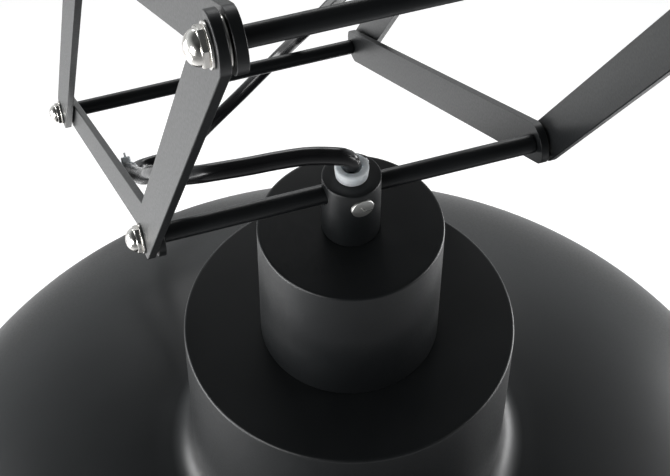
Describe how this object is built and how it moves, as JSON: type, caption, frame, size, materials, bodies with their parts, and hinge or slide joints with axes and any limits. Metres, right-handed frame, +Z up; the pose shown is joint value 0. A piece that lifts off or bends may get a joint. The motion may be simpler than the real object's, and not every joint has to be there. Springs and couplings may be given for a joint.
{
  "type": "arc floor lamp",
  "caption": "Floor lamp with a heavy round base, an arched pole, a two-plane scissor lattice of flat bars and a stepped round dome shade that tilts at its tip.",
  "frame": {"origin": "on the floor, under the middle of the round base", "axes": "+Z up; the arm reaches towards -Y and every lattice hinge turns about X; +X is the right-hand side seen from the shade's end, looking along +Y"},
  "size_m": [0.484, 2.1692, 1.6568],
  "materials": {
    "black_iron": "satin black powder coat on cast iron",
    "black_steel": "satin black powder coat on steel",
    "black_aluminium": "satin black powder coat on aluminium",
    "nickel_plate": "polished nickel plate",
    "zinc_steel": "bright zinc plate",
    "brass": "plain turned brass",
    "clear_nylon": "translucent natural nylon",
    "rubber_pad": "matt black rubber",
    "white_porcelain": "glossy white",
    "opal_bulb": "smooth opal",
    "cable_black": "glossy black sheath"
  },
  "bodies": {
    "stand": {"base_plate": "black_iron", "base_pad": "rubber_pad", "base_flange": "black_steel", "base_bolt": "zinc_steel", "pole_plug": "zinc_steel", "mains_gland": "clear_nylon", "lower_pole": "black_steel", "pole_ferrule": "black_steel", "arched_pole": "black_steel", "pole_head": "black_steel", "head_gland": "clear_nylon", "top_rod": "black_steel", "top_nut_left": "nickel_plate", "top_nut_right": "nickel_plate"},
    "top_arm_rear": {"top_bar_rear_left": "black_aluminium", "top_bar_rear_right": "black_aluminium", "near_high_nut_left": "nickel_plate", "near_high_nut_right": "nickel_plate", "near_high_rod": "black_steel", "cable_top": "cable_black"},
    "long_arm_front": {"long_bar_front_left": "black_aluminium", "long_bar_front_right": "black_aluminium", "far_low_nut_left": "nickel_plate", "far_low_nut_right": "nickel_plate", "cross_nut_left": "nickel_plate", "cross_nut_right": "nickel_plate", "far_low_rod": "black_steel", "cross_rod": "black_steel", "cable_rise": "cable_black"},
    "tip_arm_rear": {"tip_bar_rear_left": "black_aluminium", "tip_bar_rear_right": "black_aluminium", "cable_tip": "cable_black"},
    "tip_rods": {"tip_rod_left": "black_steel", "tip_rod_right": "black_steel", "tip_nut_left": "nickel_plate", "tip_nut_right": "nickel_plate"},
    "shade": {"hub": "black_steel", "set_screw": "nickel_plate", "cord_grip": "clear_nylon", "cup_cover": "black_aluminium", "dome_shade": "black_aluminium", "threaded_nipple": "zinc_steel", "lock_nut": "brass", "lampholder": "white_porcelain", "holder_ring": "white_porcelain", "bulb": "opal_bulb", "cable_hub": "cable_black"},
    "top_arm_front": {"top_bar_front_left": "black_aluminium", "top_bar_front_right": "black_aluminium", "far_high_nut_left": "nickel_plate", "far_high_nut_right": "nickel_plate", "far_high_rod": "black_steel"},
    "long_arm_rear": {"long_bar_rear_left": "black_aluminium", "long_bar_rear_right": "black_aluminium", "near_low_nut_left": "nickel_plate", "near_low_nut_right": "nickel_plate", "near_low_rod": "black_steel"},
    "tip_arm_front": {"tip_bar_front_left": "black_aluminium", "tip_bar_front_right": "black_aluminium"}
  },
  "joints": [
    {"name": "arm_reach", "type": "hinge", "parent": "stand", "child": "top_arm_rear", "pos_m": [0, -1.53099, 1.35907], "axis": [1, 0, 0], "range_deg": [0, 25]},
    {"name": "near_high_pivot", "type": "hinge", "parent": "top_arm_rear", "child": "long_arm_front", "pos_m": [0, -1.76324, 1.52596], "axis": [1, 0, 0], "range_deg": [-50, 0]},
    {"name": "far_low_pivot", "type": "hinge", "parent": "long_arm_front", "child": "tip_arm_rear", "pos_m": [0, -1.47293, 1.03311], "axis": [1, 0, 0], "range_deg": [0, 50]},
    {"name": "tip_level", "type": "hinge", "parent": "tip_arm_rear", "child": "tip_rods", "pos_m": [0, -1.70518, 1.2], "axis": [1, 0, 0], "range_deg": [-25, 0]},
    {"name": "shade_tilt", "type": "hinge", "parent": "tip_rods", "child": "shade", "pos_m": [0, -1.70518, 1.2], "axis": [1, 0, 0], "range_deg": [-45, 4]},
    {"name": "top_front_pivot", "type": "hinge", "parent": "stand", "child": "top_arm_front", "pos_m": [0, -1.53099, 1.35907], "axis": [1, 0, 0], "range_deg": [-25, 0]},
    {"name": "far_high_pivot", "type": "hinge", "parent": "top_arm_front", "child": "long_arm_rear", "pos_m": [0, -1.38583, 1.11264], "axis": [1, 0, 0], "range_deg": [0, 50]},
    {"name": "near_low_pivot", "type": "hinge", "parent": "long_arm_rear", "child": "tip_arm_front", "pos_m": [0, -1.85034, 1.44643], "axis": [1, 0, 0], "range_deg": [-50, 0]}
  ],
  "couplings": [
    {"joint": "near_high_pivot", "follows": "arm_reach", "ratio": -2},
    {"joint": "far_low_pivot", "follows": "arm_reach", "ratio": 2},
    {"joint": "tip_level", "follows": "arm_reach", "ratio": -1},
    {"joint": "top_front_pivot", "follows": "arm_reach", "ratio": -1},
    {"joint": "far_high_pivot", "follows": "arm_reach", "ratio": 2},
    {"joint": "near_low_pivot", "follows": "arm_reach", "ratio": -2}
  ]
}
